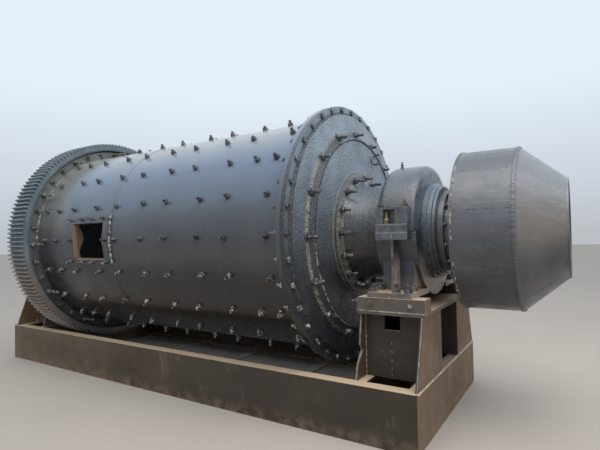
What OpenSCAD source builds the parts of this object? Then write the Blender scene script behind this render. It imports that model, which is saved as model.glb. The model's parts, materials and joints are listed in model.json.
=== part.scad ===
// Ball mill: a horizontal grinding drum with a girth gear and a drum feeder,
// turning in two trunnion bearings on a welded channel base. Millimetres.
// X runs along the mill axis towards the feed end, Z is up, and the origin is
// the centre of the underside of the base.

/* [Base] */
// Width of the base frame over the side sills
base_w = 1815; // [1780:5:1900]
// Height of the sill channels
base_h = 408; // [380:4:430]
// Web thickness of the sill channels
sill_web_t = 14; // [10:1:20]
// Flange thickness of the sill channels
sill_flange_t = 20; // [14:1:26]
// Flange width of the side sills
sill_flange_w = 108; // [90:2:140]
// Flange width of the end sills and cross members
end_flange_w = 88; // [70:2:110]
// Width of the flat ties on the ground between the side sills
tie_w = 90; // [70:2:98]
// Distance between the low ties
tie_pitch = 1050; // [900:10:1100]

/* [Pedestals] */
// Distance along X from the gear's end of the shell to a pedestal
neck_room = 350; // [340:5:400]
// Distance from the end of the base to the middle of the bearing
bearing_inset = 259; // [250:1:270]
// Distance along X over the two cross plates of a pedestal
ped_l = 500; // [480:5:520]
// Half-width of an outer cross plate at its foot
ped_foot_y = 880; // [830:5:890]
// Half-width of an outer cross plate at its top
ped_top_y = 718; // [690:2:740]
// Half-width of an inner cross plate at its foot
ped_in_foot_y = 806; // [780:2:850]
// Half-width of an inner cross plate at its top
ped_in_top_y = 690; // [670:2:710]
// Half-width of the open middle of a pedestal
ped_gap_y = 260; // [220:5:300]
// How far the outer side plates stand from the middle
ped_side_y = 640; // [600:5:670]
// Plate thickness of the pedestals
ped_t = 22; // [16:1:30]
// Size of the square window in an outer side plate
window_s = 124; // [90:2:140]
// Distance from the inner cross plate to the middle of the window
window_at = 238; // [220:2:290]
// Thickness of the bed plate on the legs
bed_t = 25; // [16:1:32]
// Half-width of the bed plate
bed_y = 720; // [715:1:740]
// Height of the rails on the bed plate
rail_h = 100; // [85:1:110]
// Width of a rail
rail_w = 160; // [120:5:170]
// Gap between the round belly of a housing and the bed plate
belly_gap = 64; // [55:1:80]

/* [Bearings] */
// Width of the bearing housing along the axis
housing_w = 322; // [310:2:335]
// Thickness of the lower housing round the bush
block_t = 113; // [100:1:125]
// Thickness of the cap's wall
cap_t = 45; // [30:1:60]
// Room between the bush and the cap's wall
cap_room = 93; // [80:1:105]
// Rounding of the cap's shoulders
cap_round = 55; // [30:1:70]
// Thickness of the end walls of the housing
housing_end_t = 28; // [20:1:40]
// How far the side lugs stand out past the cap
lug_reach = 70; // [50:2:80]
// Length of a side lug along the axis
lug_l = 250; // [220:5:290]
// Height of the cap's side lug
lug_cap_h = 178; // [150:2:200]
// Depth of the side lug under the joint
lug_block_h = 66; // [50:2:90]
// Thickness of the joint flange at the bottom of the cap's lug
lug_flange_t = 58; // [40:1:70]
// How far the lug above the joint flange is set back
lug_step = 12; // [6:1:16]
// Thickness of the housing's foot
foot_t = 38; // [30:1:50]
// Distance from the foot's outer edge to the edge of the bed plate
foot_inset = 16; // [10:1:30]
// Half-width over the walls that close the housing's foot
foot_wall_y = 480; // [470:2:490]
// Wall thickness of the bearing bush
bush_t = 70; // [60:1:80]
// Running clearance between journal and bush
journal_gap = 0.5; // [0.3:0.1:0.9]
// Clearance between the seals and what turns in them
seal_gap = 6; // [5:0.5:8]

/* [Drum] */
// Outer radius of the shell
shell_r = 1075; // [1060:1:1090]
// Thickness of the shell plate
shell_t = 20; // [16:1:25]
// Length of the shell between its end faces
shell_l = 3545; // [3500:5:3560]
// Offset of the shell's middle from the middle of the base
shell_shift = -27.5; // [-35:0.5:-20]
// Distance from the discharge end of the shell to its round seam
seam_at = 1392; // [1300:2:1500]
// Width of the end flanges outside the shell
flange_w = 98; // [92:1:104]
// Thickness of an end flange
flange_t = 37.5; // [32:0.5:42]
// Thickness of the shell liner between its waves
liner_t = 24; // [20:1:36]
// Height of the waves on the shell liner
wave_h = 60; // [40:1:70]
// Number of liner rows round the shell
liner_rows = 20; // [16:1:24]
// Thickness of the end liners
end_liner_t = 40; // [30:1:45]

/* [Manhole] */
// Middle of the manhole from the discharge end of the shell
manhole_at = 1057; // [1000:1:1070]
// Length of the manhole along the shell
manhole_l = 514; // [460:2:540]
// Height of the manhole across the shell
manhole_w = 366; // [340:2:380]
// Angle of the manhole's middle below the mill axis
manhole_drop = 1.7; // [0:0.1:3]
// Border of the frame on the discharge side of the manhole
frame_border_wide = 185; // [120:5:200]
// Border of the frame on the feed side of the manhole
frame_border = 80; // [60:1:90]
// Border of the frame above and below the manhole
frame_border_high = 64; // [50:1:80]
// Angle of the frame's middle below the mill axis
frame_drop = 1; // [0:0.1:2]
// Thickness of the manhole frame
frame_t = 28; // [20:1:32]
// How far the liner is cut back round the manhole
liner_back = 16; // [14:1:24]

/* [End covers] */
// Width of the bolted face along the cover's edge
bolt_face_w = 73; // [68:1:80]
// Width of the sloping face inside it
cover_slope_w = 176; // [160:2:190]
// Width of the slope up to the raised ring
ring_slope_w = 55; // [40:1:70]
// Width of the trunnion flange outside the neck
hub_flange_w = 160; // [140:2:180]
// Width of the spigot's ledge inside the trunnion flange
hub_ledge_w = 120; // [100:2:130]
// Height of the neck over the journal
neck_step = 50; // [40:1:54]
// Radius of the journal
journal_r = 350; // [340:1:360]
// Wall thickness of the journal
journal_t = 85; // [75:1:95]

/* [Girth gear] */
// Module of the teeth
gear_module = 16; // [15:0.5:16]
// Height of the lowest tooth above the ground
gear_clear = 232; // [220:2:260]
// Width of the toothed face
gear_w = 318; // [290:2:330]
// Distance from the end of the shell to the feed side of the rim
gear_reach = 75.5; // [70:0.5:80]
// Thickness of the rim under the teeth
rim_t = 54; // [45:1:60]
// Least gap between the rim and the end flange inside it
rim_gap = 17; // [12:1:24]
// Thickness of the gear's web
web_t = 37.5; // [30:0.5:45]
// Thickness of the lugs where the halves join
split_lug_t = 45; // [35:1:60]
// Thickness of the gussets between the web and the rim
gusset_t = 18; // [12:1:24]

/* [Drum feeder] */
// Radius of the drum
feeder_r = 629; // [600:1:640]
// Length of the straight drum
feeder_l = 404; // [380:2:420]
// Length of the cone
cone_l = 300; // [290:2:330]
// Radius of the mouth
mouth_r = 373; // [350:1:390]
// Plate thickness of the feeder
feeder_t = 12; // [8:1:16]
// Radius of the feeder's flange on the trunnion
feeder_flange_r = 332; // [325:1:345]
// Length from the end of the trunnion to the feeder's back plate
feeder_neck_l = 160; // [150:2:180]
// Length of the spiral vane along the axis
vane_l = 300; // [240:5:340]
// Length of the rolled lip in the mouth
lip_l = 45; // [35:1:60]

/* [Discharge spout] */
// Length of the spout past the end of the trunnion
spout_l = 130; // [100:5:160]
// Wall thickness of the spout
spout_t = 14; // [10:1:15]

/* [Hidden] */
$fn = 96;

steel_black = [0.17, 0.18, 0.20];
base_brown = [0.30, 0.27, 0.25];
cast_black = [0.14, 0.14, 0.15];
liner_rust = [0.45, 0.33, 0.26];
bush_bronze = [0.62, 0.50, 0.28];

// Clearance between parts that are fitted into each other
fit_gap = 0.3;
// Depth by which joined solids run into each other
overlap = 1;
// Shell ends, and the face of the head flange seen from each end
shell_x0 = shell_shift - shell_l / 2;
shell_x1 = shell_shift + shell_l / 2;
function head_x(s) = s > 0 ? shell_x1 : -shell_x0;
shell_in_r = shell_r - shell_t;
liner_in_r = shell_in_r - liner_t;
flange_r = shell_r + flange_w;
seam_x = shell_x0 + seam_at;

// Girth gear: an even number of teeth, so that each half has whole ones
gear_teeth = 2 * round((flange_r + rim_gap + rim_t) / gear_module + 1.25);
pitch_r = gear_module * gear_teeth / 2;
tip_r = pitch_r + gear_module;
root_r = pitch_r - 1.25 * gear_module;
rim_in_r = root_r - rim_t;
gear_x1 = shell_x0 + gear_reach;
gear_x0 = gear_x1 - gear_w;
web_x1 = shell_x0 - flange_t;
// Height of the mill axis above the ground
axis_z = tip_r + gear_clear;

// Bearing radii, from the journal outwards
passage_r = journal_r - journal_t;
neck_r = journal_r + neck_step;
bush_r = journal_r + bush_t;
block_r = bush_r + block_t;
cap_in_r = bush_r + cap_room;
cap_r = cap_in_r + cap_t;
lug_y = cap_r + lug_reach;

// Pedestal and bearing places, measured towards the end of the base
ped_x0 = max(head_x(1), head_x(-1)) + neck_room;
ped_x1 = ped_x0 + ped_l;
base_l = 2 * ped_x1;
bearing_x = ped_x1 - bearing_inset;
// How far the bed plate runs past the inner and the outer cross plate
bed_over = [5, 10];
bed_x0 = ped_x0 - bed_over[0];
bed_x1 = ped_x1 + bed_over[1];
leg_z = axis_z - block_r - belly_gap - bed_t;
rail_z = leg_z + bed_t;
bed_z = rail_z + rail_h;
foot_y = bed_y - foot_inset;
housing_x0 = bearing_x - housing_w / 2;
housing_x1 = bearing_x + housing_w / 2;
// Distance from the bush to the housing's end walls
bush_room = 10;
bush_x0 = housing_x0 + housing_end_t + bush_room;
bush_x1 = housing_x1 - housing_end_t - bush_room;
seal_t = [40, 35, 20];
seal_r = [for (step = [50, 36, 22]) journal_r + step];
seal_end_gap = 7;
trunnion_x1 = housing_x1 + seal_t[0] + seal_t[1] + seal_t[2] + seal_end_gap;

// Radii of the end cover, from its edge inwards
step_r = flange_r - bolt_face_w;
ring_foot_r = step_r - cover_slope_w;
ring_top_r = ring_foot_r - ring_slope_w;
hub_r = neck_r + hub_flange_w;
spigot_r = hub_r - hub_ledge_w;
// Offsets of the end cover's faces from the mating face of its flange
step_x = 60;
ring_foot_x = 79;
ring_top_x = 123;
hub_x = 147;
hub_seat_x = 85;
cover_in_x = 45;

feeder_x0 = trunnion_x1 + feeder_neck_l;
feeder_x1 = feeder_x0 + feeder_t + feeder_l;

// Shape turned about the mill axis from points of radius and distance along X
module turned(points) {
    translate([0, 0, axis_z])
        rotate([0, 90, 0])
            rotate_extrude()
                polygon(points);
}

// Plain ring about the mill axis
module ring(r_out, r_in, x0, x1) {
    turned([[r_in, x0], [r_out, x0], [r_out, x1], [r_in, x1]]);
}

// Cylinder along the mill axis
module axis_rod(r, x0, x1) {
    translate([x0, 0, axis_z])
        rotate([0, 90, 0])
            cylinder(r = r, h = x1 - x0);
}

// Box between two corners
module block(a, b) {
    translate(a)
        cube(b - a);
}

// Places a part drawn at the feed end at the end that s names
module at_end(s) {
    if (s > 0)
        children();
    else
        mirror([1, 0, 0])
            children();
}

// Places a part drawn on the near side at the side that s names
module at_side(s) {
    if (s < 0)
        children();
    else
        mirror([0, 1, 0])
            children();
}

// Side sill: a channel with its web outwards
module side_sill(s) {
    x = base_l / 2 - sill_web_t;
    y = base_w / 2;
    color(base_brown)
        at_side(s)
            translate([-x, -y, 0])
                difference() {
                    cube([2 * x, sill_flange_w, base_h]);
                    translate([-1, sill_web_t, sill_flange_t])
                        cube([2 * x + 2, sill_flange_w, base_h - 2 * sill_flange_t]);
                }
}

// End sill: its web closes the ends of the side sills
module end_sill(s) {
    x = base_l / 2;
    y = base_w / 2;
    y_in = y - sill_flange_w;
    color(base_brown)
        at_end(s)
            union() {
                block([x - sill_web_t, -y, 0], [x, y, base_h]);
                for (z = [0, base_h - sill_flange_t])
                    block([x - end_flange_w, -y_in, z], [x - 1, y_in, z + sill_flange_t]);
            }
}

// Cross member under the inner plates of a pedestal, coped to the side sills
module cross_member(s) {
    y_web = base_w / 2 - sill_web_t;
    y_in = base_w / 2 - sill_flange_w;
    color(base_brown)
        at_end(s)
            union() {
                block([ped_x0, -y_web, sill_flange_t],
                      [ped_x0 + sill_web_t, y_web, base_h - sill_flange_t]);
                for (z = [0, base_h - sill_flange_t])
                    block([ped_x0, -y_in, z], [ped_x0 + end_flange_w, y_in, z + sill_flange_t]);
            }
}

// Flat ties on the ground between the side sills
module low_ties() {
    y_in = base_w / 2 - sill_flange_w;
    color(base_brown)
        for (i = [-1:1])
            block([i * tie_pitch - tie_w / 2, -y_in, 0],
                  [i * tie_pitch + tie_w / 2, y_in, sill_flange_t]);
}

// Cross plate of one leg of a pedestal, from the points of its outer edge
module ped_cross_plate(x, edge) {
    translate([x, 0, 0])
        rotate([90, 0, 90])
            linear_extrude(height = ped_t)
                polygon(concat([[-ped_gap_y, base_h], [-ped_gap_y, leg_z]], edge));
}

// Edge of an inner cross plate, cut by hand with a step halfway down
function inner_edge() =
    let (h = leg_z - base_h, top = ped_in_top_y, foot = ped_in_foot_y)
    [[-top, leg_z], [-top - 28, leg_z - 0.31 * h], [-top - 38, leg_z - 0.49 * h],
     [-top, leg_z - 0.58 * h], [-foot + 62, leg_z - 0.69 * h], [-foot + 22, leg_z - 0.8 * h],
     [-foot, base_h]];

// One leg of a pedestal: two cross plates joined by an inner and an outer side plate
module pedestal_leg(s, side) {
    window_x = ped_x0 + window_at;
    color(base_brown)
        at_end(s)
            at_side(side)
                difference() {
                    union() {
                        ped_cross_plate(ped_x0, inner_edge());
                        ped_cross_plate(ped_x1 - ped_t,
                                        [[-ped_top_y, leg_z], [-ped_foot_y, base_h]]);
                        for (y = [-ped_side_y, -ped_gap_y - ped_t])
                            block([ped_x0, y, base_h], [ped_x1, y + ped_t, leg_z]);
                    }
                    block([window_x - window_s / 2, -ped_side_y - overlap, leg_z - window_s],
                          [window_x + window_s / 2, -ped_side_y + ped_t + overlap,
                           leg_z + overlap]);
                }
}

// Plate across the two legs of a pedestal
module bed_plate(s) {
    color(base_brown)
        at_end(s)
            block([bed_x0, -bed_y, leg_z], [bed_x1, bed_y, rail_z]);
}

// Two rails on the bed plate that the housing's feet stand on
module bed_rails(s) {
    color(base_brown)
        at_end(s)
            for (side = [-1, 1])
                at_side(side)
                    block([bed_x0, -bed_y, rail_z], [bed_x1, rail_w - bed_y, bed_z]);
}

// Everything that turns inside a housing, with its running room
module housing_bore() {
    seal_room = 12;
    axis_rod(neck_r + seal_gap, housing_x0 - overlap, housing_x0 + housing_end_t + overlap);
    axis_rod(bush_r + fit_gap, bush_x0, bush_x1);
    axis_rod(neck_r + seal_room, housing_x0 + housing_end_t, housing_x1 - housing_end_t);
    axis_rod(journal_r + seal_gap, bush_x1 - overlap, housing_x1 + overlap);
}

// Height above the axis, or below it, at which a circle of radius r is y wide
function drop_at(r, y) = sqrt(r * r - y * y);

// Lower bearing housing: a round belly in a closed foot, with a rib and a lug on each side
module bearing_block(s) {
    rib_t = 24;
    rib_y = lug_y - 14;
    foot_over = 10;
    lug_x0 = bearing_x - lug_l / 2;
    lug_x1 = bearing_x + lug_l / 2;
    belly_y = block_r / 2;
    wall_z = axis_z - drop_at(block_r, foot_wall_y) + foot_over;
    color(cast_black)
        at_end(s)
            difference() {
                union() {
                    axis_rod(block_r, housing_x0, housing_x1);
                    for (side = [-1, 1])
                        at_side(side) {
                            block([housing_x0 - foot_over, -foot_y, bed_z],
                                  [housing_x1 + foot_over, -belly_y, bed_z + foot_t]);
                            block([lug_x0, -foot_wall_y, bed_z], [lug_x1, -belly_y, wall_z]);
                            block([bearing_x - rib_t / 2, -rib_y, bed_z],
                                  [bearing_x + rib_t / 2, -belly_y, axis_z - overlap]);
                        }
                    block([lug_x0, -lug_y, axis_z - lug_block_h], [lug_x1, lug_y, axis_z]);
                }
                housing_bore();
                block([housing_x0 - overlap, -lug_y - overlap, axis_z],
                      [housing_x1 + overlap, lug_y + overlap, axis_z + block_r + overlap]);
            }
}

// Round bar along the mill axis with rounded shoulders
module rounded_rod(r, x0, x1, round_r) {
    steps = 6;
    turned(concat([[0, x0]],
                  [for (i = [0:steps]) let (a = 90 * i / steps)
                      [r - round_r * (1 - sin(a)), x0 + round_r * (1 - cos(a))]],
                  [for (i = [0:steps]) let (a = 90 * i / steps)
                      [r - round_r * (1 - cos(a)), x1 - round_r * (1 - sin(a))]],
                  [[0, x1]]));
}

// Bearing cap: a round hood with end walls and side lugs that are bolted down
module bearing_cap(s) {
    pocket_at = 60;
    pocket_l = 92;
    pocket_top = 12;
    pocket_depth = 75;
    cavity_inset = 50;
    lug_x0 = bearing_x - lug_l / 2;
    lug_x1 = bearing_x + lug_l / 2;
    lug_in_y = lug_y - lug_step;
    color(steel_black)
        at_end(s)
            difference() {
                union() {
                    rounded_rod(cap_r, housing_x0, housing_x1, cap_round);
                    block([lug_x0, -lug_y, axis_z], [lug_x1, lug_y, axis_z + lug_flange_t]);
                    block([lug_x0, -lug_in_y, axis_z], [lug_x1, lug_in_y, axis_z + lug_cap_h]);
                }
                housing_bore();
                axis_rod(cap_in_r, bush_x0 + cavity_inset, bush_x1 - cavity_inset);
                for (side = [-1, 1])
                    at_side(side)
                        block([lug_x0 + pocket_at, -lug_y - overlap, axis_z + lug_flange_t],
                              [lug_x0 + pocket_at + pocket_l, pocket_depth - lug_y,
                               axis_z + lug_cap_h - pocket_top]);
                block([housing_x0 - overlap, -cap_r - lug_y, axis_z - cap_r - overlap],
                      [housing_x1 + overlap, cap_r + lug_y, axis_z]);
            }
}

// Bearing bush round the journal
module bearing_bush(s) {
    color(bush_bronze)
        at_end(s)
            ring(bush_r, journal_r + journal_gap, bush_x0, bush_x1);
}

// Stack of seal rings on the outer face of the housing
module bearing_seals(s) {
    r_in = journal_r + seal_gap;
    chamfer = 6;
    x1 = housing_x1 + seal_t[0];
    x2 = x1 + seal_t[1];
    x3 = x2 + seal_t[2];
    color(cast_black)
        at_end(s)
            turned([[r_in, housing_x1], [seal_r[0], housing_x1], [seal_r[0], x1 - chamfer],
                    [seal_r[1], x1], [seal_r[1], x2 - chamfer], [seal_r[2], x2],
                    [seal_r[2], x3], [r_in, x3]]);
}

// Wedge from the mill axis through the near side of the shell, high on the shell's surface
module shell_window(x0, x1, high, drop) {
    half = asin(high / 2 / shell_r);
    reach = shell_r + 2 * frame_t;
    translate([x0, 0, axis_z])
        rotate([90, 0, 90])
            linear_extrude(height = x1 - x0)
                polygon([[0, 0],
                         for (a = [-drop - half, -drop + half])
                             [-reach * cos(a), reach * sin(a)] / cos(half)]);
}

// Manhole through everything on the near side of the shell, with radial faces
module manhole_cut(back = 0) {
    x = shell_x0 + manhole_at;
    l = manhole_l / 2 + back;
    shell_window(x - l, x + l, manhole_w + 2 * back, manhole_drop);
}

// One rolled course of the shell
module shell_course(x0, x1) {
    color(steel_black)
        difference() {
            ring(shell_r, shell_in_r, x0, x1);
            manhole_cut();
        }
}

// Flange ring welded round the end of the shell
module shell_flange(s) {
    color(steel_black)
        at_end(s)
            ring(flange_r, shell_r, head_x(s) - flange_t, head_x(s));
}

// Liner with one wave along each row of plates
module shell_liner() {
    x0 = shell_x0 + end_liner_t;
    x1 = shell_x1 - end_liner_t;
    steps = 8;
    color(liner_rust)
        difference() {
            axis_rod(shell_in_r - fit_gap, x0, x1);
            translate([x0 - overlap, 0, axis_z])
                rotate([0, 90, 0])
                    linear_extrude(height = x1 - x0 + 2 * overlap)
                        polygon([for (i = [0:liner_rows * steps - 1])
                            let (a = 360 * i / (liner_rows * steps),
                                 r = liner_in_r - wave_h * (1 + cos(a * liner_rows)) / 2)
                            [r * cos(a), r * sin(a)]]);
            manhole_cut(liner_back);
        }
}

// Raised frame round the manhole, rolled to the shell
module manhole_frame() {
    x0 = shell_x0 + manhole_at - manhole_l / 2 - frame_border_wide;
    x1 = shell_x0 + manhole_at + manhole_l / 2 + frame_border;
    color(steel_black)
        difference() {
            intersection() {
                ring(shell_r + frame_t, shell_r, x0, x1);
                shell_window(x0 - overlap, x1 + overlap, manhole_w + 2 * frame_border_high,
                             frame_drop);
            }
            manhole_cut();
        }
}

// Flat liner inside an end cover
module end_liner(s) {
    edge_gap = 4;
    color(liner_rust)
        at_end(s)
            ring(shell_in_r - edge_gap, passage_r + edge_gap, head_x(s) - end_liner_t, head_x(s));
}

// Cast end cover: flange, sloping face and raised ring round the trunnion's seat
module end_cover(s) {
    h = head_x(s);
    inner_bevel = 40;
    wall_gap = 20;
    draft = 4;
    color(cast_black)
        at_end(s)
            turned([[spigot_r, h + cover_in_x],
                    [shell_in_r - wall_gap - inner_bevel, h + cover_in_x],
                    [shell_in_r - wall_gap, h], [flange_r, h], [flange_r, h + flange_t],
                    [step_r, h + flange_t], [step_r - draft, h + step_x],
                    [ring_foot_r, h + ring_foot_x], [ring_top_r, h + ring_top_x],
                    [hub_r + fit_gap, h + ring_top_x], [hub_r + fit_gap, h + hub_seat_x],
                    [spigot_r, h + hub_seat_x]]);
}

// Hollow trunnion: flange on the end cover, flared neck and journal
module trunnion(s) {
    h = head_x(s);
    flare_r = 80;
    neck_l = 80;
    shoulder_gap = 6;
    flare_l = housing_x0 - neck_l - h - hub_x;
    steps = 8;
    color(cast_black)
        at_end(s)
            turned(concat(
                [[passage_r, h + cover_in_x], [spigot_r - fit_gap, h + cover_in_x],
                 [spigot_r - fit_gap, h + hub_seat_x], [hub_r, h + hub_seat_x],
                 [hub_r, h + hub_x]],
                [for (i = [0:steps])
                    let (a = 90 * i / steps)
                    [neck_r + flare_r * (1 - sin(a)), h + hub_x + flare_l * (1 - cos(a))]],
                [[neck_r, bush_x0 - shoulder_gap], [journal_r, bush_x0 - shoulder_gap],
                 [journal_r, trunnion_x1], [passage_r, trunnion_x1]]));
}

// Involute of a circle, as a point at roll angle a
function involute(r, a) =
    [r * (cos(a) + a * PI / 180 * sin(a)), r * (sin(a) - a * PI / 180 * cos(a))];
function turn_point(p, a) = [p[0] * cos(a) - p[1] * sin(a), p[0] * sin(a) + p[1] * cos(a)];
function roll_at(r_base, r) = sqrt(pow(r / r_base, 2) - 1) * 180 / PI;

// One tooth centred on angle zero, from its root on one side to the other
function tooth_points() =
    let (pressure = 20,
         base_r = pitch_r * cos(pressure),
         low_r = max(base_r, root_r + 2),
         inv_pitch = tan(pressure) - pressure * PI / 180,
         half = 90 / gear_teeth + inv_pitch * 180 / PI - 0.06,
         steps = 3,
         flank = [for (i = [0:steps])
                     let (r = low_r + (tip_r - low_r) * i / steps)
                     turn_point(involute(base_r, roll_at(base_r, r)), -half)],
         root_a = atan2(flank[0][1], flank[0][0]),
         root_p = [root_r * cos(root_a - 0.12), root_r * sin(root_a - 0.12)])
    concat([root_p], flank,
           [for (i = [steps:-1:0]) [flank[i][0], -flank[i][1]]],
           [[root_p[0], -root_p[1]]]);

// Outline of one half of the toothed rim, from angle 0 to 180
function half_gear_points() =
    let (tooth = tooth_points(), pitch = 360 / gear_teeth)
    concat([[root_r, 0]],
           [for (i = [0:gear_teeth / 2 - 1])
               for (p = tooth)
                   turn_point(p, (i + 0.5) * pitch)],
           [[-root_r, 0]]);

// Half of the girth gear: toothed rim, web ring, gussets behind it and joint lugs
module girth_gear_half(s) {
    lug_h = 62;
    lug_in_x = 30;
    step_gap = 8;
    bore_r = step_r + step_gap;
    gusset_x = (gear_x0 + web_x1 - web_t) / 2;
    gusset_pitch = 20;
    gusset_start = s > 0 ? 8 : 12;
    web_x0 = web_x1 - web_t;
    color(cast_black)
        translate([0, 0, axis_z])
            rotate([s > 0 ? 0 : 180, 0, 0])
                difference() {
                    union() {
                        difference() {
                            translate([gear_x0, 0, 0])
                                rotate([90, 0, 90])
                                    linear_extrude(height = gear_w)
                                        polygon(half_gear_points());
                            for (x = [[gear_x0 - overlap, web_x0], [web_x1, gear_x1 + overlap]])
                                translate([x[0], 0, 0])
                                    rotate([0, 90, 0])
                                        cylinder(r = rim_in_r, h = x[1] - x[0]);
                        }
                        for (y = [rim_in_r - lug_h, -rim_in_r - overlap])
                            translate([gear_x0 + lug_in_x, y, 0])
                                cube([web_x0 - gear_x0 - lug_in_x + overlap, lug_h + overlap,
                                      split_lug_t]);
                        for (a = [gusset_start:gusset_pitch:180])
                            rotate([a, 0, 0])
                                translate([0, 0, -gusset_t / 2])
                                    linear_extrude(height = gusset_t)
                                        polygon([[web_x0 + overlap, rim_in_r + overlap],
                                                 [gusset_x, rim_in_r + overlap],
                                                 [web_x0 - 2 * overlap, bore_r],
                                                 [web_x0 + overlap, bore_r]]);
                    }
                    translate([gear_x0 - overlap, 0, 0])
                        rotate([0, 90, 0])
                            cylinder(r = bore_r, h = gear_w + 2 * overlap);
                }
}

// Flanged neck that carries the feeder on the trunnion
module feeder_neck() {
    flange_t = 45;
    flange_w = 36;
    x0 = trunnion_x1;
    r = feeder_flange_r - flange_w;
    color(cast_black)
        turned([[passage_r, x0], [feeder_flange_r, x0], [feeder_flange_r, x0 + flange_t],
                [r, x0 + flange_t], [r, feeder_x0], [passage_r, feeder_x0]]);
}

// Back plate of the feeder
module feeder_back_plate() {
    rim_w = 6;
    color(steel_black)
        ring(feeder_r + rim_w, passage_r, feeder_x0, feeder_x0 + feeder_t);
}

// Straight drum of the feeder
module feeder_drum() {
    color(steel_black)
        ring(feeder_r, feeder_r - feeder_t, feeder_x0 + feeder_t, feeder_x1);
}

// Cone of the feeder
module feeder_cone() {
    x2 = feeder_x1 + cone_l;
    color(steel_black)
        turned([[feeder_r - feeder_t, feeder_x1], [feeder_r, feeder_x1],
                [mouth_r, x2], [mouth_r - feeder_t, x2]]);
}

// Rim on the end of the cone with a lip turned back into the mouth
module feeder_mouth_lip() {
    x2 = feeder_x1 + cone_l;
    lip_r = mouth_r - feeder_t - overlap;
    color(steel_black)
        turned([[mouth_r - 2 * feeder_t, x2 - lip_l], [lip_r, x2 - lip_l], [lip_r, x2],
                [mouth_r, x2], [mouth_r, x2 + feeder_t], [mouth_r - 2 * feeder_t, x2 + feeder_t]]);
}

// Spiral vane that lifts the feed from the drum into the trunnion
module feeder_vane() {
    r0 = passage_r + feeder_t;
    r1 = feeder_r - feeder_t;
    steps = 16;
    sweep = 240;
    outer = [for (i = [0:steps])
        let (a = sweep * i / steps, r = r0 + (r1 - r0) * i / steps)
        [r * cos(a), r * sin(a)]];
    inner = [for (i = [steps:-1:0])
        let (a = sweep * i / steps, r = r0 - feeder_t + (r1 - r0) * i / steps)
        [r * cos(a), r * sin(a)]];
    color(steel_black)
        translate([feeder_x0 + feeder_t, 0, axis_z])
            rotate([90, 0, 90])
                linear_extrude(height = vane_l)
                    polygon(concat(outer, inner));
}

// Discharge spout: a sleeve in the trunnion with a flange on its end
module discharge_spout() {
    flange_t = 35;
    lip = 12;
    x0 = head_x(-1) + cover_in_x;
    r_in = passage_r - fit_gap - spout_t;
    r_out = r_in + spout_t + lip;
    x1 = trunnion_x1;
    color(steel_black)
        at_end(-1)
            turned([[r_in, x0], [passage_r - fit_gap, x0], [passage_r - fit_gap, x1],
                    [feeder_flange_r, x1], [feeder_flange_r, x1 + flange_t],
                    [r_out, x1 + flange_t], [r_out, x1 + spout_l], [r_in, x1 + spout_l]]);
}

side_sill(-1);  // sill_near
side_sill(1);  // sill_far
end_sill(1);  // end_sill_feed
end_sill(-1);  // end_sill_discharge
cross_member(1);  // cross_member_feed
cross_member(-1);  // cross_member_discharge
low_ties();
pedestal_leg(1, -1);  // pedestal_feed_near
pedestal_leg(1, 1);  // pedestal_feed_far
pedestal_leg(-1, -1);  // pedestal_discharge_near
pedestal_leg(-1, 1);  // pedestal_discharge_far
bed_plate(1);  // bed_plate_feed
bed_plate(-1);  // bed_plate_discharge
bed_rails(1);  // bed_rails_feed
bed_rails(-1);  // bed_rails_discharge
bearing_block(1);  // bearing_block_feed
bearing_block(-1);  // bearing_block_discharge
bearing_cap(1);  // bearing_cap_feed
bearing_cap(-1);  // bearing_cap_discharge
bearing_bush(1);  // bearing_bush_feed
bearing_bush(-1);  // bearing_bush_discharge
bearing_seals(1);  // bearing_seals_feed
bearing_seals(-1);  // bearing_seals_discharge
shell_course(seam_x, shell_x1);  // shell_course_feed
shell_course(shell_x0, seam_x);  // shell_course_discharge
shell_flange(1);  // shell_flange_feed
shell_flange(-1);  // shell_flange_discharge
shell_liner();
manhole_frame();
end_liner(1);  // end_liner_feed
end_liner(-1);  // end_liner_discharge
end_cover(1);  // end_cover_feed
end_cover(-1);  // end_cover_discharge
trunnion(1);  // trunnion_feed
trunnion(-1);  // trunnion_discharge
girth_gear_half(1);  // girth_gear_upper
girth_gear_half(-1);  // girth_gear_lower
feeder_neck();
feeder_back_plate();
feeder_drum();
feeder_cone();
feeder_mouth_lip();
feeder_vane();
discharge_spout();
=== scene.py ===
"""Ball mill on its base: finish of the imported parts, small fasteners, welds, dust and stage. Metres."""
import json
import math
import random

import bpy
from mathutils import Matrix, Vector


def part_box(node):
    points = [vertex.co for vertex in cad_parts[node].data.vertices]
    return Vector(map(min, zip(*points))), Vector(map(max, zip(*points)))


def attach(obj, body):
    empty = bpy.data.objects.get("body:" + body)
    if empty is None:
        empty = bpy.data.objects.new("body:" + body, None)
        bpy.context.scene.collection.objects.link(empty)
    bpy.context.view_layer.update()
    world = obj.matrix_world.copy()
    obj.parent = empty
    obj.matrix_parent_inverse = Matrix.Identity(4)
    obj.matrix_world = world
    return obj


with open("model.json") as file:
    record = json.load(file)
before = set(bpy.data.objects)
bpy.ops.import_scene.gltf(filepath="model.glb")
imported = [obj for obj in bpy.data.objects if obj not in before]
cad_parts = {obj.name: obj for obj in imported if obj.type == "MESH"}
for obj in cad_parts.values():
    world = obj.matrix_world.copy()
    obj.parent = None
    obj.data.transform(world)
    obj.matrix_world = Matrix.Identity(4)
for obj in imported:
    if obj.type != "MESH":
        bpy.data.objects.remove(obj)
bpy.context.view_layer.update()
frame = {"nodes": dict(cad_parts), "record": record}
nodes = frame["nodes"]


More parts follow.
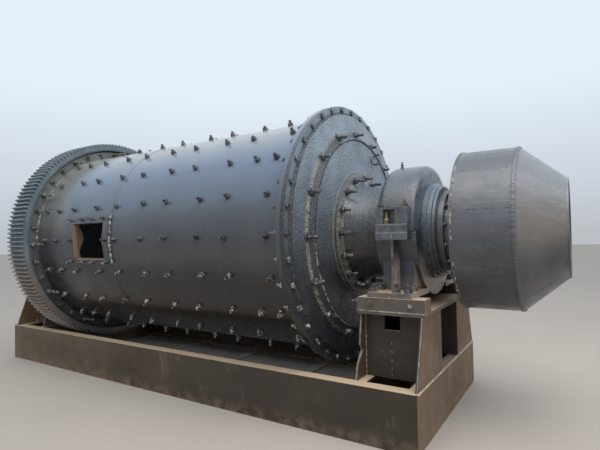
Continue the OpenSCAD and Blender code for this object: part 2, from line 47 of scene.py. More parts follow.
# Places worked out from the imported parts, those of the feed end where both ends are alike
AXIS_Z = sum(corner[2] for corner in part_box("shell_flange_feed")) / 2
SHELL_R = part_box("shell_course_feed")[1][2] - AXIS_Z
HEAD_X = {1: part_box("shell_course_feed")[1][0], -1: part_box("shell_course_discharge")[0][0]}
SEAM_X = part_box("shell_course_feed")[0][0]
FLANGE_LOW, FLANGE_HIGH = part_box("shell_flange_feed")
FLANGE_T = FLANGE_HIGH[0] - FLANGE_LOW[0]
FLANGE_BOLT_R = FLANGE_HIGH[2] - AXIS_Z - 0.032
GEAR_FLANGE_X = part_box("shell_flange_discharge")[1][0]
GEAR_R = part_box("girth_gear_upper")[1][2] - AXIS_Z
FRAME_LOW, FRAME_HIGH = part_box("manhole_frame")
HOLE_LOW, HOLE_HIGH = next(o["box_m"] for o in frame["record"]["physics"]["openings"]
                           if o["name"] == "manhole")
HOLE_X = (HOLE_LOW[0] + HOLE_HIGH[0]) / 2
HOLE_Z = (HOLE_LOW[2] + HOLE_HIGH[2]) / 2
HOLE_HALF_X = (HOLE_HIGH[0] - HOLE_LOW[0]) / 2
HOLE_HALF_Z = (HOLE_HIGH[2] - HOLE_LOW[2]) / 2
FEEDER_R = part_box("feeder_drum")[1][2] - AXIS_Z
FEEDER_X = (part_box("feeder_back_plate")[0][0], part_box("feeder_drum")[1][0])
NECK_FLANGE_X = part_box("feeder_neck")[0][0] + 0.045
SPOUT_FLANGE_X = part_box("trunnion_discharge")[0][0] - 0.035
BASE_LOW, BASE_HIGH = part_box("sill_near")
LEG_LOW, LEG_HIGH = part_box("pedestal_feed_near")
RAIL_LOW, RAIL_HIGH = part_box("bed_rails_feed")
CAP_LOW, CAP_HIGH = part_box("bearing_cap_feed")
BLOCK_LOW, BLOCK_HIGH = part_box("bearing_block_feed")
BEARING_X = (CAP_LOW[0] + CAP_HIGH[0]) / 2
CAP_R = CAP_HIGH[2] - AXIS_Z
ENDS = (("feed", 1), ("discharge", -1))

# Bolt circles, rings and lifting eye of an end cover: face outside the shell's end, and radius
COVER_BOLTS = (0.080, 0.914)
TRUNNION_BOLTS = (0.147, 0.501)
RAISED_RING = (0.121, 0.868)
LIFTING_EYE = (0.120, 0.770)

# Nuts and bolt heads: width across the flats, height, and radius of the washer or 0 for none
LINER_BOLT = (0.044, 0.024, 0.030)
MANHOLE_BOLT = (0.036, 0.018, 0.023)
FLANGE_HEAD = (0.046, 0.020, 0)
FLANGE_NUT = (0.046, 0.026, 0)
GEAR_NUT = (0.048, 0.028, 0)
GEAR_HEAD = (0.048, 0.026, 0)
COVER_NUT = (0.052, 0.028, 0.036)
TRUNNION_NUT = (0.048, 0.028, 0.034)
NECK_BOLT = (0.030, 0.018, 0)
SPOUT_BOLT = (0.034, 0.020, 0)
CAP_BOLT = (0.046, 0.026, 0.030)
POCKET_BOLT = (0.034, 0.034, 0.022)
FOOT_BOLT = (0.050, 0.028, 0.034)
RAIL_SIDE_BOLT = (0.036, 0.016, 0)
RAIL_END_BOLT = (0.036, 0.020, 0)
WASHER_T = 0.008
# How far a small part reaches into what carries it
SEATING = 0.002


# Mesh tools

class Shape:
    """Points and faces of many small parts that become one mesh."""

    def __init__(self):
        self.points = []
        self.faces = []

    def add(self, part, place=Matrix()):
        points, faces = part
        start = len(self.points)
        self.points += [place @ Vector(p) for p in points]
        self.faces += [[start + i for i in face] for face in faces]

    def build(self, name, body, slot, material, smooth_below=35):
        mesh = bpy.data.meshes.new(name)
        mesh.from_pydata(self.points, [], self.faces)
        mesh.update()
        mesh.shade_smooth()
        mesh.set_sharp_from_angle(angle=math.radians(smooth_below))
        mesh.materials.append(material)
        piece = bpy.data.objects.new(name, mesh)
        bpy.context.scene.collection.objects.link(piece)
        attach(piece, body)


def lathe(profile, sides):
    """Closed solid turned about Z from (radius, z) pairs, with flat ends."""
    points = []
    for radius, z in profile:
        for i in range(sides):
            angle = math.tau * i / sides
            points.append((radius * math.cos(angle), radius * math.sin(angle), z))
    faces = [list(range(sides))[::-1]]
    for row in range(len(profile) - 1):
        a = row * sides
        for i in range(sides):
            j = (i + 1) % sides
            faces.append([a + i, a + j, a + sides + j, a + sides + i])
    last = (len(profile) - 1) * sides
    faces.append([last + i for i in range(sides)])
    return points, faces


def facing(direction, at, spin=0.0):
    """Place whose Z axis points along direction, turned by spin about it."""
    z = Vector(direction).normalized()
    side = Vector((1, 0, 0)) if abs(z.x) < 0.9 else Vector((0, 0, 1))
    x = (side - z * side.dot(z)).normalized()
    y = z.cross(x)
    turn = Matrix((x, y, z)).transposed().to_4x4()
    return Matrix.Translation(at) @ turn @ Matrix.Rotation(spin, 4, "Z")


def outward(degrees):
    """Direction away from the mill axis: 0 faces -Y, 90 faces up."""
    angle = math.radians(degrees)
    return Vector((0, -math.cos(angle), math.sin(angle)))


def on_drum(x, radius, degrees):
    return Vector((x, 0, AXIS_Z)) + outward(degrees) * radius


def nut(across, height):
    """Hexagon nut with chamfered corners."""
    r = across / math.sqrt(3)
    return lathe([(r * 0.96, 0), (r, height * 0.08), (r, height * 0.86), (r * 0.9, height)], 6)


def washer(radius):
    return lathe([(radius, 0), (radius, WASHER_T * 0.6), (radius * 0.93, WASHER_T)], 14)


def stud(radius, length):
    return lathe([(radius, 0), (radius, length * 0.93), (radius * 0.82, length)], 8)


def fastener(shape, at, direction, size, proud, draw):
    """Washer, nut and the end of the stud on a face, seated at the point."""
    across, height, washer_r = size
    direction = Vector(direction).normalized()
    seat = 0.0
    if washer_r:
        shape.add(washer(washer_r), facing(direction, at, draw.uniform(0, 1)))
        seat = WASHER_T
    spin = draw.uniform(0, math.tau)
    shape.add(nut(across, height), facing(direction, at + direction * seat, spin))
    if proud > 0:
        top = at + direction * (seat + height - SEATING)
        shape.add(stud(across * 0.3, proud + SEATING), facing(direction, top, spin))


def bead(shape, path, normals, radius, draw, pitch=0.012, closed=False, rough=0.18, wander=0.0,
         height=0.75):
    """Weld bead: a rounded band along the path with ripples of uneven size."""
    section = 6
    rows = len(path)
    start = len(shape.points)
    swell = 1.0
    drift = 0.0
    travel = 0.0
    for i, (point, normal) in enumerate(zip(path, normals)):
        before = path[i - 1] if i or closed else point
        after = path[(i + 1) % rows] if i + 1 < rows or closed else point
        along = (after - before).normalized()
        normal = (normal - along * normal.dot(along)).normalized()
        side = along.cross(normal)
        travel += (point - before).length if i else 0
        if i % 3 == 0:
            swell = 1 + draw.uniform(-rough, rough)
        drift = 0.8 * drift + draw.uniform(-wander, wander)
        point = point + side * drift
        size = radius * swell * (0.86 + 0.14 * abs(math.sin(math.pi * travel / pitch)))
        for k in range(section):
            angle = math.pi * k / (section - 1)
            shape.points.append(point + side * (size * math.cos(angle))
                                + normal * (size * height * math.sin(angle)))
    for i in range(rows if closed else rows - 1):
        a = start + i * section
        b = start + ((i + 1) % rows) * section
        for k in range(section - 1):
            shape.faces.append([a + k, b + k, b + k + 1, a + k + 1])


def ring_bead(shape, x, radius, lean, size, draw, start=0.0, end=360.0, step=0.5, **look):
    """Bead round the mill axis; lean is the bead's direction as (along X, outward)."""
    count = max(2, round((end - start) / step))
    closed = end - start >= 359.9
    angles = [start + (end - start) * i / count for i in range(count + (0 if closed else 1))]
    path = [on_drum(x, radius, a) for a in angles]
    normals = [Vector((lean[0], 0, 0)) + outward(a) * lean[1] for a in angles]
    bead(shape, path, normals, size, draw, closed=closed, **look)


def line_bead(shape, start, end, normal, size, draw, step=0.006, **look):
    start, end = Vector(start), Vector(end)
    count = max(2, round((end - start).length / step))
    path = [start.lerp(end, i / count) for i in range(count + 1)]
    bead(shape, path, [Vector(normal)] * (count + 1), size, draw, **look)


def closed_tube(shape, path, radius, sides=8):
    """Round bar along a closed path that lies in one plane."""
    rows = len(path)
    normal = (path[1] - path[0]).cross(path[rows // 3] - path[0]).normalized()
    start = len(shape.points)
    for i, point in enumerate(path):
        side = (path[(i + 1) % rows] - path[i - 1]).normalized().cross(normal)
        for k in range(sides):
            angle = math.tau * k / sides
            shape.points.append(point + (side * math.cos(angle) + normal * math.sin(angle)) * radius)
    for i in range(rows):
        a = start + i * sides
        b = start + ((i + 1) % rows) * sides
        for k in range(sides):
            shape.faces.append([a + k, b + k, b + (k + 1) % sides, a + (k + 1) % sides])


def plate(corners, thickness):
    """Flat plate from its outline, thick along the outline's own normal."""
    corners = [Vector(c) for c in corners]
    normal = (corners[1] - corners[0]).cross(corners[2] - corners[0]).normalized() * thickness / 2
    points = [c - normal for c in corners] + [c + normal for c in corners]
    n = len(corners)
    faces = [list(range(n))[::-1], list(range(n, 2 * n))]
    faces += [[i, (i + 1) % n, n + (i + 1) % n, n + i] for i in range(n)]
    return points, faces


# Material tools

# Sockets of the Mix node when it mixes colours
MIX_AMOUNT, MIX_FIRST, MIX_SECOND, MIX_RESULT = 0, 6, 7, 2


class Paint:
    """Principled material built step by step in the piece's own coordinates."""

    def __init__(self, name, roughness, ior_level=0.5, metallic=0.0, coat=0.0):
        self.material = bpy.data.materials.new(name)
        self.material.use_nodes = True
        self.tree = self.material.node_tree
        self.shader = self.tree.nodes["Principled BSDF"]
        for socket, value in (("Roughness", roughness), ("Specular IOR Level", ior_level),
                              ("Metallic", metallic), ("Coat Weight", coat), ("Coat Roughness", 0.12)):
            self.shader.inputs[socket].default_value = value
        self.place = self.node("TexCoord").outputs["Object"]
        self.colour = None
        self.normal = None

    def feed(self, socket, value):
        """Links the socket to another node's output, or sets it to a plain value."""
        if isinstance(value, bpy.types.NodeSocket):
            self.tree.links.new(value, socket)
        else:
            socket.default_value = value

    def node(self, kind, **inputs):
        made = self.tree.nodes.new("ShaderNode" + kind)
        for key, value in inputs.items():
            self.feed(made.inputs[key.replace("_", " ")], value)
        return made

    def math(self, operation, a, b=0.0):
        made = self.tree.nodes.new("ShaderNodeMath")
        made.operation = operation
        self.feed(made.inputs[0], a)
        self.feed(made.inputs[1], b)
        return made.outputs["Value"]

    def times(self, *values):
        made = values[0]
        for value in values[1:]:
            made = self.math("MULTIPLY", made, value)
        return made

    def noise(self, scale, detail=3.0, roughness=0.55, stretch=(1, 1, 1), distortion=0.0):
        scaled = self.node("Mapping", Vector=self.place, Scale=stretch)
        made = self.node("TexNoise", Vector=scaled.outputs["Vector"], Scale=scale, Detail=detail,
                         Roughness=roughness, Distortion=distortion)
        return made.outputs["Fac"]

    def band(self, value, low, high, start=0.0, end=1.0):
        """Value taken from low..high to start..end, smoothly and clamped."""
        made = self.node("MapRange", Value=value, From_Min=low, From_Max=high, To_Min=start, To_Max=end)
        made.interpolation_type = "SMOOTHSTEP"
        return made.outputs["Result"]

    def patches(self, scale, detail, low, high, start=0.0, end=1.0, **look):
        """Soft patches: noise taken from low..high to start..end."""
        return self.band(self.noise(scale, detail, **look), low, high, start, end)

    def near(self, value, middle, reach, fade):
        """1 where the value lies within reach of the middle, fading out past it."""
        off = self.math("ABSOLUTE", self.math("SUBTRACT", value, middle))
        return self.band(off, reach, reach + fade, 1.0, 0.0)

    def towards(self, axis):
        """How far the surface faces along an axis, from -1 to 1, in the piece's own frame."""
        normal = self.node("TexCoord").outputs["Normal"]
        return self.node("SeparateXYZ", Vector=normal).outputs[axis]

    def squarely(self, axis, low, high):
        """1 where the surface faces along the axis, either way, and 0 where it turns from it."""
        return self.band(self.math("ABSOLUTE", self.towards(axis)), low, high)

    def at(self, axis):
        """Coordinate of the point in metres, in the piece's own frame."""
        return self.node("SeparateXYZ", Vector=self.place).outputs[axis]

    def from_axis(self):
        """Distance of the point from the mill axis."""
        height = self.math("SUBTRACT", self.at("Z"), AXIS_Z)
        across = self.at("Y")
        return self.math("SQRT", self.math("ADD", self.times(height, height), self.times(across, across)))

    def blend(self, amount, first, second):
        """The first colour at 0, the second at 1."""
        made = self.tree.nodes.new("ShaderNodeMix")
        made.data_type = "RGBA"
        self.feed(made.inputs[MIX_AMOUNT], amount)
        for index, colour in ((MIX_FIRST, first), (MIX_SECOND, second)):
            self.feed(made.inputs[index], (*colour, 1) if isinstance(colour, tuple) else colour)
        return made.outputs[MIX_RESULT]

    def lay(self, colour, *amounts):
        """Lays a colour over what is there, by the product of the amounts."""
        self.colour = self.blend(self.times(*amounts), self.colour, colour)

    def bump(self, height, distance):
        made = self.node("Bump", Height=height, Distance=distance, Strength=1.0)
        if self.normal:
            self.tree.links.new(self.normal, made.inputs["Normal"])
        self.normal = made.outputs["Normal"]

    def vary_roughness(self, *patches):
        """Roughness in soft patches, told in the same numbers as patches()."""
        self.tree.links.new(self.patches(*patches), self.shader.inputs["Roughness"])

    def done(self):
        self.tree.links.new(self.colour, self.shader.inputs["Base Color"])
        if self.normal:
            self.tree.links.new(self.normal, self.shader.inputs["Normal"])
        return self.material


# Colours

BLACK = (0.016, 0.017, 0.019)
BLACK_WORN = (0.034, 0.035, 0.038)
SLATE_DARK = (0.030, 0.037, 0.050)
SLATE = (0.072, 0.090, 0.120)
# Painted reflection of the sky on the glossy paint
BLUE_SKY_SHEEN = (0.150, 0.205, 0.300)
# Dust and painted sheen on the drum's top
GREY_DUST_AND_SHEEN = (0.330, 0.325, 0.290)
TOP_FILM = (0.320, 0.280, 0.210)
# Painted light that lifts the drum's sides
SIDE_PAINTED_LIGHT = (0.165, 0.165, 0.165)
# Dust and painted light near the gear end
GEAR_END_DUST_AND_LIGHT = (0.190, 0.182, 0.145)
# Painted sky sheen on castings: on their tops and on their faces across the axis
CAST_SKY_SHEEN = (0.170, 0.210, 0.280)
CAST_FACE_SHEEN = (0.190, 0.235, 0.300)
COVER_FACE_SHEEN = (0.245, 0.300, 0.370)
LUG_FACE = (0.135, 0.155, 0.165)
JOINT_LINE = (0.36, 0.34, 0.28)
# Painted shade under the drum
UNDERSIDE_SHADE = (0.010, 0.009, 0.008)
BASE_DARK = (0.036, 0.028, 0.021)
BASE_BROWN = (0.172, 0.122, 0.076)
# Painted light on the base's end faces
BASE_TAN_PAINTED_LIGHT = (0.168, 0.108, 0.066)
DUST = (0.52, 0.40, 0.27)
RUST = (0.22, 0.130, 0.085)
RUST_PALE = (0.42, 0.30, 0.22)
BRIGHT = (0.56, 0.54, 0.50)
# Pale wear and painted highlights on low nuts
NUT_WEAR_AND_HIGHLIGHT = (0.58, 0.56, 0.50)
# Pale wear and painted highlights on the cover's edges
PALE_WEAR_AND_HIGHLIGHT = (0.40, 0.37, 0.30)
STEEL_BLUE = (0.290, 0.360, 0.430)

# Dust and painted sky sheen on the drum: how far up a face looks where a layer starts and where it is full,
# then its amount, its colour and the scale of its patches
SHELL_DUST_AND_SHEEN = (
    (-0.34, -0.18, 0.22, SIDE_PAINTED_LIGHT, 1.7),
    (-0.25, -0.02, 0.10, BLUE_SKY_SHEEN, 1.7),
    (0.15, 0.28, 0.20, BLUE_SKY_SHEEN, 1.7),
    (0.0, 0.85, 0.95, BLUE_SKY_SHEEN, 1.7),
    (0.55, 1.0, 0.85, GREY_DUST_AND_SHEEN, 2.6),
    (0.84, 0.97, 0.40, TOP_FILM, 2.6),
)


# Materials

def dust_and_sheen(paint, low, high, strength, colour=BLUE_SKY_SHEEN, scale=1.7):
    """Pale dust and painted sky sheen, growing where the surface turns up."""
    patchy = paint.patches(scale, 4, 0.25, 0.75, 0.8, 1.0)
    paint.lay(colour, paint.band(paint.towards("Z"), low, high), patchy, strength)


def shell_paint(name, cut_faces):
    """Glossy black paint under dust and painted sky sheen that grow upwards, with painted shade underneath;
    cut_faces gives the mask of the bare faces of the manhole.
    """
    paint = Paint(name, 0.25, 0.45, coat=0.25)
    paint.colour = paint.blend(paint.patches(1.1, 4, 0.35, 0.7), BLACK, BLACK_WORN)
    for layer in SHELL_DUST_AND_SHEEN:
        dust_and_sheen(paint, *layer)
    up = paint.towards("Z")
    # Near the gear end: dust, and painted light against the gear's shade; paler still on top, dust and
    # painted sheen
    by_gear = paint.band(paint.at("X"), -1.1, -1.45)
    paint.lay(GEAR_END_DUST_AND_LIGHT, by_gear, paint.band(up, -0.1, 0.3), paint.patches(2.2, 4, 0.2, 0.7, 0.5, 0.9))
    paint.lay((0.40, 0.40, 0.36), by_gear, paint.band(up, 0.74, 0.9), 0.7)
    # Flange face by the gear paler, more so up high: painted light
    flange_face = paint.band(paint.towards("X"), 0.8, 0.95)
    lit = paint.band(paint.at("Z"), 0.6, 2.3, 0.2, 1.0)
    paint.lay((0.150, 0.172, 0.165), by_gear, flange_face, lit, paint.patches(5, 5, 0.3, 0.7, 0.5, 1.0))
    # Painted shade: nearly black underside in patches; then painted light lifts it a little towards the gear
    # end
    below = paint.band(up, -0.25, -0.42)
    shade_patches = paint.patches(1.4, 3, 0.3, 0.7, 0.4, 1.0, roughness=0.5, stretch=(0.6, 1, 1))
    paint.lay(UNDERSIDE_SHADE, below, shade_patches)
    paint.lay((0.110, 0.105, 0.095), below, paint.band(paint.at("X"), -0.3, -1.2), 0.22)
    streaks = paint.patches(9.0, 3, 0.45, 0.75, roughness=0.5, stretch=(2.4, 0.22, 0.22))
    paint.lay((0.085, 0.080, 0.070), streaks, paint.near(up, 0.02, 0.14, 0.14), 0.35)
    runs = paint.patches(5.0, 4, 0.56, 0.8, stretch=(2.2, 0.35, 0.35))
    paint.lay((0.11, 0.11, 0.10), runs, 0.2)
    specks = paint.patches(55, 2, 0.70, 0.76)
    paint.lay((0.26, 0.25, 0.22), specks, 0.5)
    paint.lay(paint.blend(paint.noise(40, 4), RUST, RUST_PALE), cut_faces(paint))
    paint.vary_roughness(5, 4, 0.3, 0.75, 0.2, 0.36)
    paint.bump(paint.noise(1.5, 2), 0.018)
    paint.bump(paint.noise(70, 3), 0.0012)
    return paint.done()


def inside_shell(paint):
    """Faces of the shell that lie inside its outer skin."""
    return paint.band(paint.from_axis(), SHELL_R - 0.0025, SHELL_R - 0.0015, 1.0, 0.0)


def frame_opening(paint):
    """Faces of the frame that look into the manhole, and a strip of its front under it."""
    reach = 0.016
    along = paint.near(paint.at("X"), HOLE_X, HOLE_HALF_X + reach, 0.001)
    across = paint.near(paint.at("Z"), HOLE_Z, HOLE_HALF_Z + reach, 0.001)
    not_front = paint.band(paint.towards("Y"), -0.9, -0.7)
    strip = paint.times(paint.near(paint.at("X"), HOLE_X, HOLE_HALF_X + 0.006, 0.004),
                        paint.near(paint.at("Z"), HOLE_LOW[2] - 0.024, 0.012, 0.004))
    return paint.math("MAXIMUM", strip, paint.times(along, across, not_front))


def lug_faces(paint, flat, joint_z):
    """Paler flat faces of the lugs, with a worn line where two castings meet."""
    paint.lay(LUG_FACE, flat, paint.patches(14, 5, 0.3, 0.65, 0.2, 0.5))
    joint = paint.near(paint.at("Z"), joint_z, 0.002, 0.002)
    paint.lay(JOINT_LINE, flat, joint, paint.patches(22, 3, 0.3, 0.6, 0.2, 0.7))


def cast_paint(name, rough, top_sheen, face_sheen, wear_and_highlight_rings=(), shade_rings=(), sheen_low=-0.2,
               lugs=False, ior_level=0.65, coat=0.25, face=CAST_FACE_SHEEN):
    """Gloss black paint on a casting, with painted sky sheen on top and on the faces across the axis; rings
    are given by radius, reach, amount and colour.
    """
    ring_fade = 0.006
    paint = Paint(name, 0.27, ior_level, coat=coat)
    paint.colour = paint.blend(paint.patches(5, 4, 0.35, 0.7), BLACK, BLACK_WORN)
    # Painted sky sheen that grows as faces turn up
    dust_and_sheen(paint, sheen_low, 0.9, top_sheen, CAST_SKY_SHEEN)
    # Faces across the axis paler up high: painted reflection of the sky; the speckles are stronger up high
    # with it
    lit = paint.band(paint.at("Z"), AXIS_Z - 0.45, AXIS_Z + 0.75, 0.04, 1.0)
    patchy = paint.patches(3.0, 4, 0.25, 0.7, 0.5, 1.0)
    paint.lay(face, paint.squarely("X", 0.7, 0.97), lit, patchy, face_sheen)
    if lugs:
        brushed = paint.patches(26, 4, 0.5, 0.72, roughness=0.6, stretch=(1, 0.25, 0.15))
        paint.lay((0.17, 0.19, 0.235), brushed, 0.3)
        lug_faces(paint, paint.squarely("Y", 0.94, 0.99), AXIS_Z + 0.050)
    grains = paint.patches(62, 3, 0.54, 0.68, roughness=0.6)
    paint.lay((0.20, 0.21, 0.22), grains, paint.band(lit, 0.0, 0.6, 0.3, 1.0), 0.35 * rough)
    # Dark rings: painted shade
    for radius, reach, amount, colour in shade_rings:
        paint.lay(colour, paint.near(paint.from_axis(), radius, reach, ring_fade), amount)
    # Pale rings: wear, and on the covers also painted highlights, kept near the axis height
    for radius, reach, amount, colour in wear_and_highlight_rings:
        ring = paint.near(paint.from_axis(), radius, reach, ring_fade)
        beside_axis = paint.near(paint.at("Z"), 1.35, 0.3, 0.85)
        paint.lay(colour, ring, paint.patches(85, 3, 0.42, 0.58), beside_axis, amount)
    paint.vary_roughness(20, 3, 0.3, 0.7, 0.2, 0.42)
    paint.bump(paint.noise(48, 4, 0.62), 0.010 * rough)
    paint.bump(paint.noise(150, 3), 0.003 * rough)
    return paint.done()


def housing_paint():
    """Black paint on the lower housing, dusty and brown towards its foot."""
    paint = Paint("housing_paint", 0.3, 0.8, coat=0.3)
    paint.colour = paint.blend(paint.patches(6, 4, 0.35, 0.7), (0.012, 0.016, 0.028), (0.029, 0.034, 0.052))
    height = paint.at("Z")
    lug_flat = paint.times(paint.squarely("Y", 0.94, 0.99), paint.band(height, 1.42, 1.45))
    lug_faces(paint, lug_flat, AXIS_Z - 0.014)
    ends = paint.times(paint.squarely("X", 0.5, 0.95), paint.band(height, 1.40, 1.22))
    foot = paint.math("MAXIMUM", ends, paint.band(height, 1.20, 1.05, 0.0, 0.35))
    paint.lay((0.30, 0.235, 0.185), foot, paint.patches(7, 5, 0.2, 0.6, 0.45, 1.0))
    half_disc = paint.times(paint.squarely("X", 0.9, 0.97), paint.band(height, 1.17, 1.10))
    paint.lay((0.44, 0.32, 0.24), half_disc, paint.patches(9, 5, 0.3, 0.65, 0.4, 0.9))
    from_middle = paint.math("SUBTRACT", paint.math("ABSOLUTE", paint.at("X")), BEARING_X)
    rib_edge = paint.times(paint.near(from_middle, 0.0, 0.005, 0.003), paint.squarely("Y", 0.85, 0.95))
    paint.lay((0.26, 0.25, 0.235), rib_edge, paint.patches(30, 4, 0.35, 0.65, 0.0, 0.5))
    paint.lay(DUST, paint.band(paint.towards("Z"), 0.7, 0.95), paint.patches(9, 5, 0.2, 0.45, 0.4, 1.0))
    paint.vary_roughness(14, 3, 0.3, 0.7, 0.25, 0.5)
    paint.bump(paint.noise(40, 4), 0.004)
    return paint.done()


def gear_paint():
    """Blue-grey steel with grease and painted sky sheen high up, pale tooth crests of wear and painted
    highlight, a dark ring on the rim face as painted shade, and sludge on the teeth low down that is also
    painted reflection of the ground.
    """
    paint = Paint("gear_steel", 0.40, 0.5, coat=0.1)
    paint.colour = paint.blend(paint.patches(4, 4, 0.35, 0.7), (0.094, 0.124, 0.154), (0.154, 0.188, 0.214))
    dust_and_sheen(paint, 0.1, 0.95, 0.3)
    paint.lay((0.17, 0.14, 0.105), paint.patches(16, 5, 0.5, 0.75), 0.45)
    radius = paint.from_axis()
    # Pale tooth crests: wear and painted highlights
    tip_wear_and_highlights = paint.band(radius, GEAR_R - 0.012, GEAR_R - 0.001)
    paint.lay((0.26, 0.33, 0.31), tip_wear_and_highlights, paint.patches(24, 3, 0.35, 0.6), 0.6)
    # Dark line on the rim face: painted shade
    groove_shade = paint.near(radius, GEAR_R - 0.081, 0.003, 0.004)
    paint.lay((0.025, 0.03, 0.038), groove_shade, paint.band(paint.towards("X"), 0.7, 0.95), 0.75)
    # Brown low down: sludge, and painted reflection of the ground
    sludge_and_ground_reflection = paint.times(paint.band(paint.at("Z"), 1.55, 0.95), paint.patches(7, 5, 0.3, 0.6, 0.5, 1.0))
    teeth = paint.band(radius, GEAR_R - 0.040, GEAR_R - 0.030, 0.6, 0.9)
    paint.lay((0.235, 0.175, 0.128), sludge_and_ground_reflection, teeth)
    paint.bump(paint.noise(60, 4), 0.004)
    return paint.done()


def base_paint(name, haze=0.0):
    """Brown-black paint under dust, palest on top faces from dust; the faces along the axis are paler as
    painted light, and the browner, paler -X end is partly dust and partly painted light.
    """
    paint = Paint(name, 0.6, 0.3)
    paint.colour = paint.blend(paint.patches(1.6, 4, 0.35, 0.68), BASE_DARK, (0.048, 0.038, 0.030))
    along, height = paint.at("X"), paint.at("Z")
    clouds = paint.patches(1.3, 5, 0.3, 0.7, 0.35, 1.0, roughness=0.6, stretch=(0.6, 1, 1))
    on_base = paint.band(height, BASE_HIGH[2] + 0.10, BASE_HIGH[2], 0.35, 1.0)
    # Browner and paler towards the -X end: dust and painted light
    paint.lay(BASE_BROWN, paint.band(along, 1.4, -2.6, 0.05, 0.95), clouds, on_base)
    # End faces paler: painted light
    lit_end_faces = paint.times(paint.squarely("X", 0.6, 0.95),
                            paint.band(paint.math("ABSOLUTE", along), 2.35, 2.5, 0.3, 1.0))
    paint.lay(BASE_TAN_PAINTED_LIGHT, lit_end_faces, paint.patches(2.4, 5, 0.2, 0.6, 0.55, 0.95))
    paint.lay((0.24, 0.215, 0.185), paint.patches(5, 5, 0.2, 0.7, 0.5 * haze, haze))
    smears = paint.patches(3.2, 6, 0.56, 0.76, roughness=0.62, stretch=(1, 1, 0.45), distortion=0.8)
    paint.lay((0.21, 0.17, 0.135), smears, 0.55)
    splash = paint.times(paint.band(height, 0.13, 0.02), paint.patches(11, 4, 0.35, 0.65))
    paint.lay((0.21, 0.15, 0.10), splash, 0.5)
    paint.lay(DUST, paint.band(paint.towards("Z"), 0.6, 0.95), paint.patches(4, 5, 0.15, 0.45, 0.6, 1.0))
    flakes = paint.patches(34, 3, 0.69, 0.74)
    paint.lay((0.30, 0.27, 0.23), flakes, 0.6)
    paint.vary_roughness(7, 4, 0.3, 0.7, 0.45, 0.7)
    paint.bump(paint.noise(2.5, 3), 0.010)
    paint.bump(paint.noise(70, 4), 0.0012)
    return paint.done()


def feeder_paint():
    """Grey-black paint brushed over rough plate, with painted sky sheen on all but its underside and a
    painted highlight that makes the cone's upper side lighter.
    """
    paint = Paint("feeder_paint", 0.42, 0.6, coat=0.15)
    paint.colour = paint.blend(paint.patches(2.5, 4, 0.35, 0.7), (0.044, 0.046, 0.052), (0.082, 0.085, 0.093))
    # Painted sky sheen on all but the underside
    dust_and_sheen(paint, -0.4, 0.25, 0.34, (0.180, 0.190, 0.215))
    brushed = paint.patches(11, 5, 0.5, 0.78, roughness=0.62, stretch=(0.35, 1.3, 1.3))
    paint.lay((0.12, 0.118, 0.115), brushed, 0.4)
    up = paint.towards("Z")
    cone = paint.band(paint.at("X"), FEEDER_X[1] + 0.004, FEEDER_X[1] + 0.03)
    # Cone's upper side lighter: painted highlight
    paint.lay((0.25, 0.26, 0.28), cone, paint.band(up, 0.1, 0.8), 0.4)
    paint.lay((0.20, 0.17, 0.14), cone, paint.near(up, 0.05, 0.05, 0.35), 0.6)
    chips = paint.patches(60, 3, 0.67, 0.73)
    paint.lay((0.30, 0.29, 0.26), chips, 0.5)
    paint.vary_roughness(9, 4, 0.3, 0.7, 0.28, 0.48)
    paint.bump(paint.noise(5, 3), 0.008)
    paint.bump(paint.noise(18, 4, stretch=(0.3, 1, 1)), 0.0045)
    paint.bump(paint.noise(110, 4), 0.0016)
    return paint.done()


def fastener_paint():
    """Black nuts and studs: a painted slate-blue sky sheen on those high up, pale wear and painted highlights
    on those that face the ground.
    """
    paint = Paint("fastener_paint", 0.3, 0.9, coat=0.3)
    patches = paint.patches(8, 3, 0.4, 0.7)
    height = paint.at("Z")
    paint.colour = paint.blend(patches, BLACK, (0.055, 0.056, 0.058))
    # Slate-blue on high nuts: painted sky sheen
    above = paint.band(height, AXIS_Z - 0.1, AXIS_Z + 0.4, 0.0, 0.9)
    paint.lay(paint.blend(patches, SLATE_DARK, SLATE), above)
    # Pale wear and painted highlights on low nuts
    below = paint.band(height, AXIS_Z + 0.1, AXIS_Z - 0.75, 0.06, 1.0)
    paint.lay(NUT_WEAR_AND_HIGHLIGHT, paint.patches(36, 4, 0.48, 0.60), 0.9, below)
    paint.bump(paint.noise(120, 3), 0.002)
    return paint.done()


def liner_steel():
    """Dark cast liner, rusty where it shows round the manhole."""
    paint = Paint("liner_steel", 0.5, 0.5)
    # The pale blue-grey lifts the shaded inside of the drum: partly the liner's colour, partly painted light
    paint.colour = paint.blend(paint.patches(9, 5, 0.4, 0.7), STEEL_BLUE, (0.33, 0.36, 0.39))
    rim = paint.times(paint.near(paint.at("X"), HOLE_X, 0.27, 0.05),
                      paint.near(paint.at("Z"), HOLE_Z, 0.19, 0.05),
                      paint.band(paint.at("Y"), -0.8, -0.85))
    paint.lay(paint.blend(paint.noise(26, 4), RUST, (0.34, 0.22, 0.15)), rim)
    paint.bump(paint.noise(50, 4), 0.005)
    return paint.done()


def bush_metal():
    paint = Paint("bush_metal", 0.35, 0.5, metallic=1.0)
    paint.colour = paint.blend(paint.noise(12, 3), (0.45, 0.30, 0.13), (0.60, 0.44, 0.22))
    paint.bump(paint.noise(90, 2), 0.001)
    return paint.done()


def plain_metal(name, dark, pale, roughness, low=0.42, high=0.62):
    """Welds, cut edges and plated bolts: two colours in small patches."""
    paint = Paint(name, roughness, 0.6)
    paint.colour = paint.blend(paint.patches(28, 4, low, high), dark, pale)
    paint.bump(paint.noise(150, 3), 0.002)
    return paint.done()


def floor_finish(name):
    paint = Paint(name, 0.9, 0.2)
    paint.colour = paint.blend(paint.noise(0.7, 4), (0.40, 0.355, 0.31), (0.46, 0.41, 0.365))
    paint.bump(paint.noise(14, 4), 0.004)
    return paint.done()


